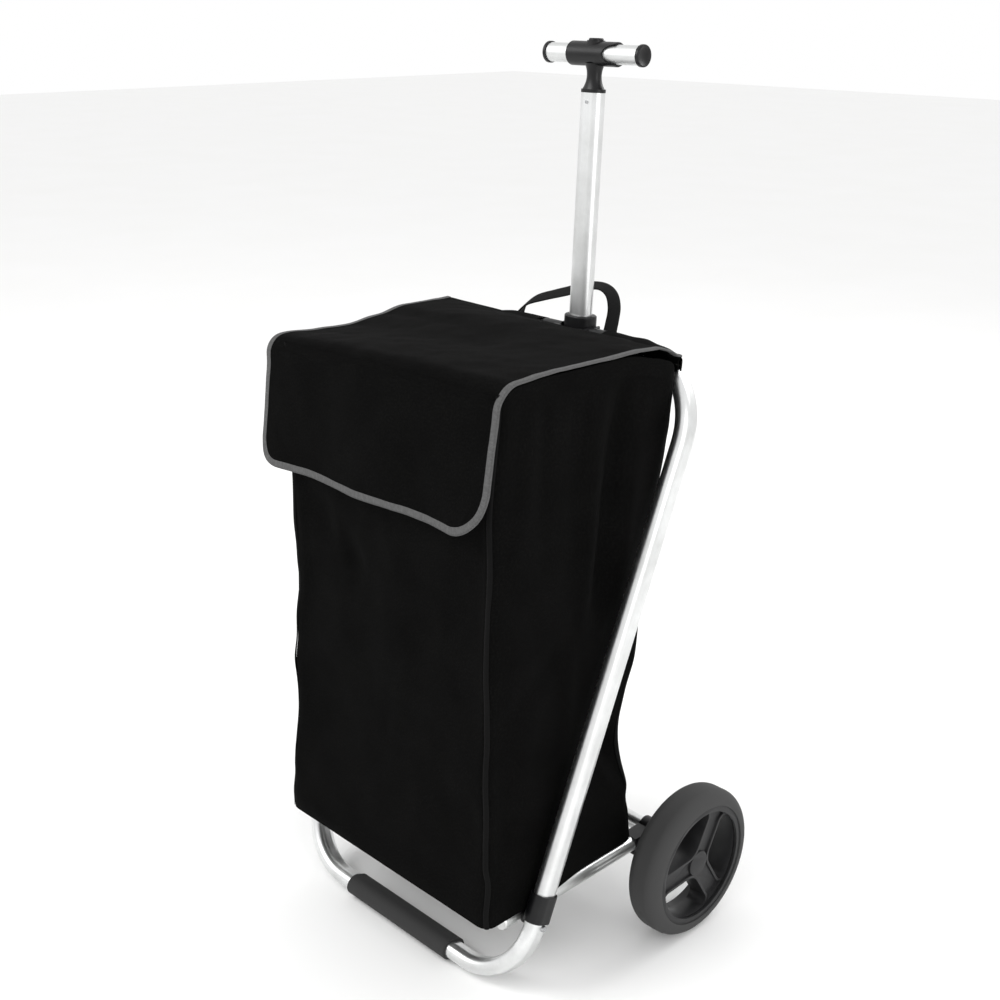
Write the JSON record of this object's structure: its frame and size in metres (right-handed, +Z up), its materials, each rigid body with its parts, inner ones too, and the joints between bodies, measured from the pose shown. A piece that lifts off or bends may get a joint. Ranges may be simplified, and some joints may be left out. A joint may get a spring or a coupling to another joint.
{
  "type": "two-wheeled shopping trolley",
  "caption": "Folding two-wheeled shopping trolley: leaning aluminium loop frame, fabric bag with flap lid, telescopic pole with T-handle.",
  "frame": {"origin": "on the floor, at the middle of the trolley's footprint", "axes": "+X across to the left-hand wheel seen from behind, +Y back from the foot to the wheels, +Z up"},
  "size_m": [0.554, 0.4148, 1.1043],
  "materials": {
    "satin_aluminium": "satin anodised",
    "zinc_steel": "zinc plated",
    "black_plastic": "moulded, fine grain",
    "wheel_plastic": "moulded, dark grey",
    "tyre_rubber": "smooth soft rubber",
    "foot_rubber": "matt",
    "bag_fabric": "woven polyester",
    "grey_binding": "woven tape",
    "webbing": "woven webbing",
    "base_panel": "sheet"
  },
  "bodies": {
    "loop": {"loop_tube": "satin_aluminium", "top_yoke": "black_plastic", "yoke_screws": "zinc_steel", "foot_sleeve": "foot_rubber", "side_clamp_left": "black_plastic", "side_clamp_right": "black_plastic", "pivot_studs": "zinc_steel", "stop_screws": "zinc_steel", "bag_shell": "bag_fabric", "carry_strap": "webbing", "rim_sleeves": "bag_fabric"},
    "lid": {"lid_flap": "bag_fabric", "lid_binding": "grey_binding"},
    "base": {"base_side_tube_left": "satin_aluminium", "base_side_tube_right": "satin_aluminium", "front_plugs": "satin_aluminium", "front_crossbar": "satin_aluminium", "rear_crossbar": "satin_aluminium", "rear_bracket_left": "black_plastic", "rear_bracket_right": "black_plastic", "bracket_screws": "zinc_steel", "stub_axles": "zinc_steel", "axle_rings": "zinc_steel", "base_board": "base_panel"},
    "wheel_left": {"tyre_left": "tyre_rubber", "rim_left": "wheel_plastic", "wheel_bush_left": "black_plastic"},
    "wheel_right": {"tyre_right": "tyre_rubber", "rim_right": "wheel_plastic", "wheel_bush_right": "black_plastic"},
    "pole": {"pole_outer_tube": "satin_aluminium", "pole_foot": "black_plastic", "pole_collar": "black_plastic"},
    "handle": {"pole_inner_tube": "satin_aluminium", "inner_plug": "black_plastic", "brake_shoes": "foot_rubber", "handle_hub": "black_plastic", "grip_left": "satin_aluminium", "grip_right": "satin_aluminium", "grip_cap_left": "black_plastic", "grip_cap_right": "black_plastic", "neck_rivet": "zinc_steel", "button_spring": "zinc_steel"},
    "button": {"handle_button": "black_plastic", "release_rod": "zinc_steel"}
  },
  "joints": [
    {"name": "lid_hinge", "type": "hinge", "parent": "loop", "child": "lid", "pos_m": [0, 0.1225, 0.758], "axis": [1, 0, 0], "range_deg": [-95, 0]},
    {"name": "base_fold", "type": "hinge", "parent": "loop", "child": "base", "pos_m": [0, -0.1265, 0.1], "axis": [1, 0, 0], "range_deg": [0, 57], "deforming": ["bag_shell", "carry_strap"]},
    {"name": "pole_fold", "type": "hinge", "parent": "base", "child": "pole", "pos_m": [0, 0.1215, 0.102], "axis": [1, 0, 0], "range_deg": [-72.51, 0]},
    {"name": "handle_slide", "type": "slide", "parent": "pole", "child": "handle", "axis": [0, 0.0455, 0.999], "range_m": [-0.24, 0]},
    {"name": "button_press", "type": "slide", "parent": "handle", "child": "button", "axis": [0, -0.0455, -0.999], "range_m": [0, 0.003], "stiffness_N_per_m": 900, "springref_m": -0.001, "deforming": ["button_spring"]},
    {"name": "wheel_left_spin", "type": "hinge", "parent": "base", "child": "wheel_left", "pos_m": [0, 0.1075, 0.1], "axis": [1, 0, 0], "continuous": true},
    {"name": "wheel_right_spin", "type": "hinge", "parent": "base", "child": "wheel_right", "pos_m": [0, 0.1075, 0.1], "axis": [1, 0, 0], "continuous": true}
  ],
  "couplings": [
    {"joint": "pole_fold", "follows": "base_fold", "ratio": -1.2719}
  ]
}
